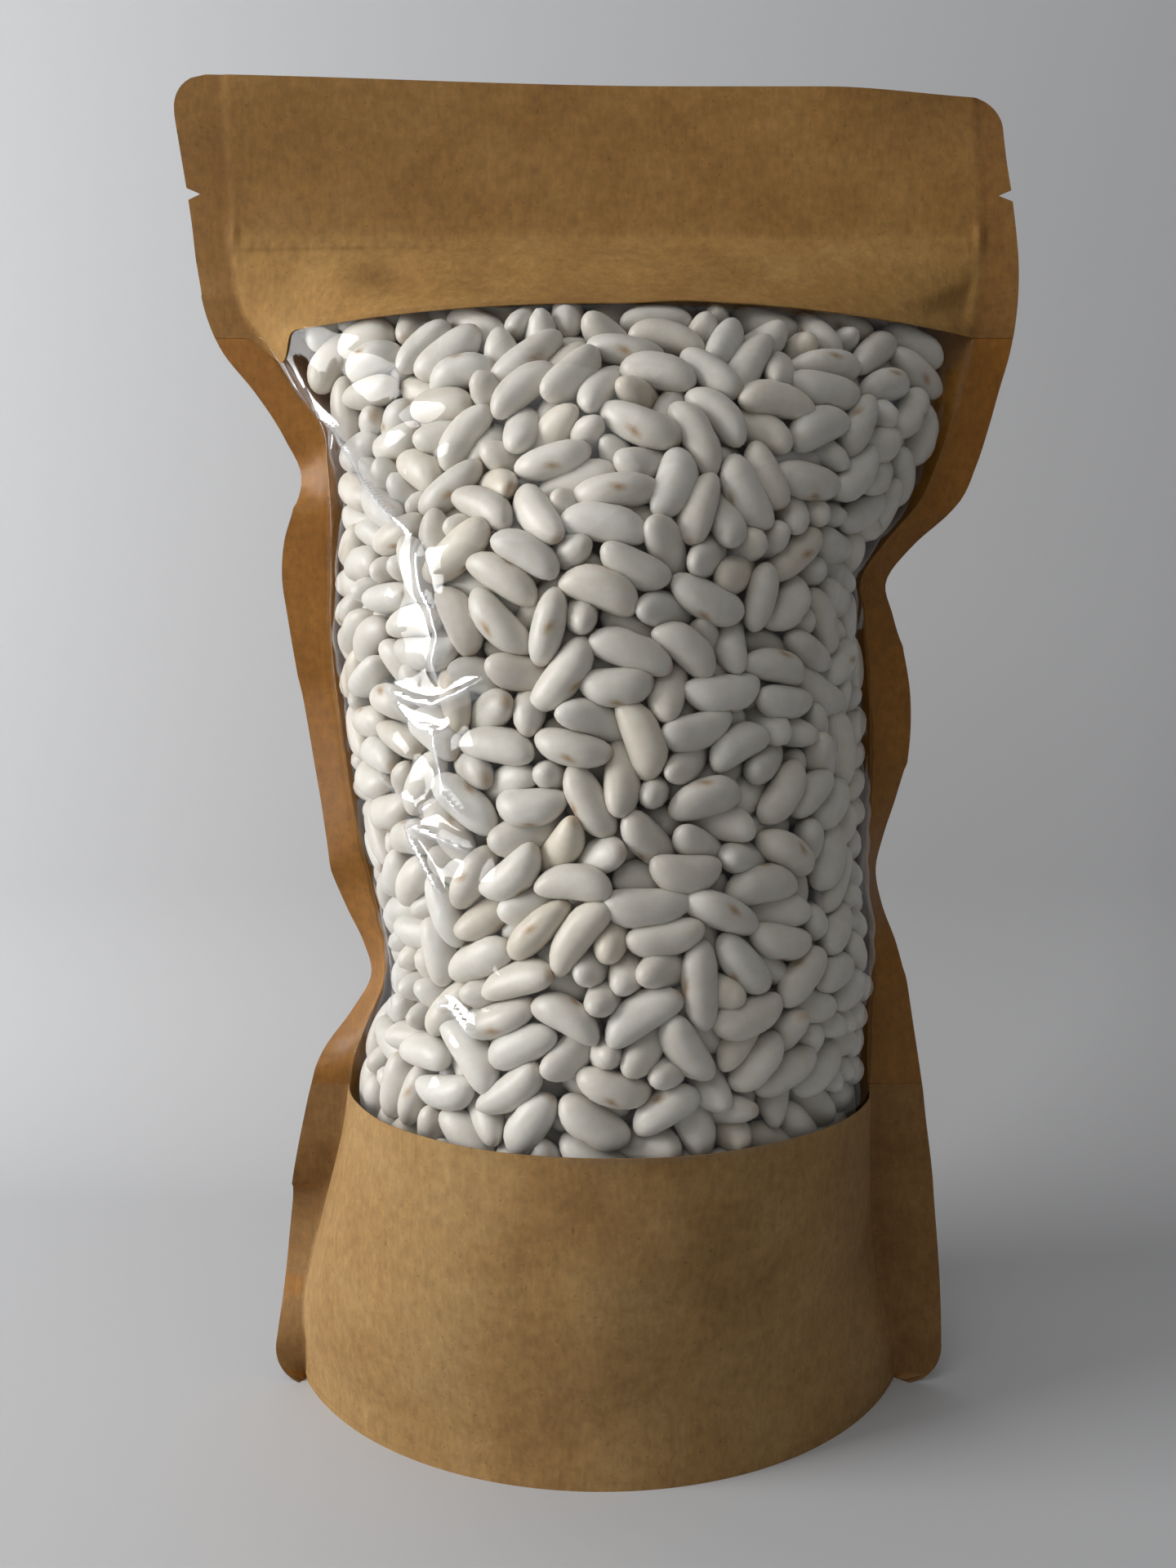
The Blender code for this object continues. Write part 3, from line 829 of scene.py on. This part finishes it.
def make_lights():
    for name, lamp in LAMPS.items():
        add_lamp(name, *lamp)
    world = bpy.data.worlds.new("world")
    bpy.context.scene.world = world
    world.use_nodes = True
    world.node_tree.nodes["Background"].inputs["Color"].default_value = (1.0, 1.0, 1.0, 1.0)
    world.node_tree.nodes["Background"].inputs["Strength"].default_value = WORLD_LIGHT


def make_camera():
    """Close in front of the pouch, halfway up, tipped down a little."""
    data = bpy.data.cameras.new("camera")
    data.lens = CAMERA_LENS
    data.sensor_width = 36.0
    data.clip_start = 0.01
    camera = bpy.data.objects.new("camera", data)
    bpy.context.scene.collection.objects.link(camera)
    camera.location = [value * MM for value in CAMERA_PLACE]
    camera.rotation_euler = (math.radians(90.0 - CAMERA_TIP), 0.0, 0.0)
    bpy.context.scene.camera = camera


# ---------------------------------------------------------------- the whole

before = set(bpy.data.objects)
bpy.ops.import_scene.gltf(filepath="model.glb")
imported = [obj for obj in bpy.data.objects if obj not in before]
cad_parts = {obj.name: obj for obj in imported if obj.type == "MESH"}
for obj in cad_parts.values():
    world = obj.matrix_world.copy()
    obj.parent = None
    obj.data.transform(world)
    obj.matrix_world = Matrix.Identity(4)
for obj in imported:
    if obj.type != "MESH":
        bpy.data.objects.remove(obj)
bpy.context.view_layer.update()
HEIGHT, OUTLINE = read_outline(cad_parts["kraft_pouch"])
ANGLES = np.linspace(0.01, 1.75, 500)
CHORDS = np.sin(ANGLES) / ANGLES
LEVELS = np.arange(0.0, 246.0, 0.5)
tube = Section(LEVELS)
TUBE = np.array([tube.middle, tube.radius, tube.radius * np.cos(tube.angle)])
TUBE_SLOPE = np.gradient(TUBE, 0.5, axis=1)

kraft = kraft_material("kraft", *KRAFT_TONES, roughness=0.8, coat=0.0)
kraft_inner = kraft_material("kraft_inner", *LINING_TONES, roughness=0.55, coat=0.05)
film = film_material()
bean = bean_material()
# the core stands in for the deeper beans; its colour, darker than a bean's, is painted shade for the gaps
# between them
core = plain_material("core", (0.36, 0.32, 0.27), 0.8)

back_panel = make_paper("back_panel", 0.0, HEIGHT, 1.6, BACK, [kraft, kraft_inner])
top_band = make_paper("top_band", WINDOW_HIGH, HEIGHT, 0.75, FRONT, [kraft])
bottom_band = make_paper("bottom_band", 0.0, WINDOW_LOW, 1.0, FRONT, [kraft])
gusset = make_gusset(kraft)

place, axis = start_beans(BEAN_COUNT)
place, axis = settle_beans(place, axis, SETTLE_STEPS)
film_window = make_film(film, place, axis)
depth, inward = depth_in(place)
outer = depth < OUTER_DEPTH
outer_beans = new_beans("beans_outer", place[outer], axis[outer], inward[outer], bean, 16, 12)
inner_beans = new_beans("beans_inner", place[~outer], axis[~outer], inward[~outer], bean, 12, 8)
bean_core = make_core(core)

for piece in (back_panel, top_band, bottom_band, gusset, film_window, outer_beans, inner_beans, bean_core):
    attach(piece, "root")
for piece in (back_panel, top_band, bottom_band, gusset):
    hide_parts("kraft_pouch")
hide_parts("window_film")
for piece in (outer_beans, inner_beans, bean_core):
    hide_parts("beans")

make_stage()
make_lights()
make_camera()
bpy.context.scene.view_settings.view_transform = "Standard"
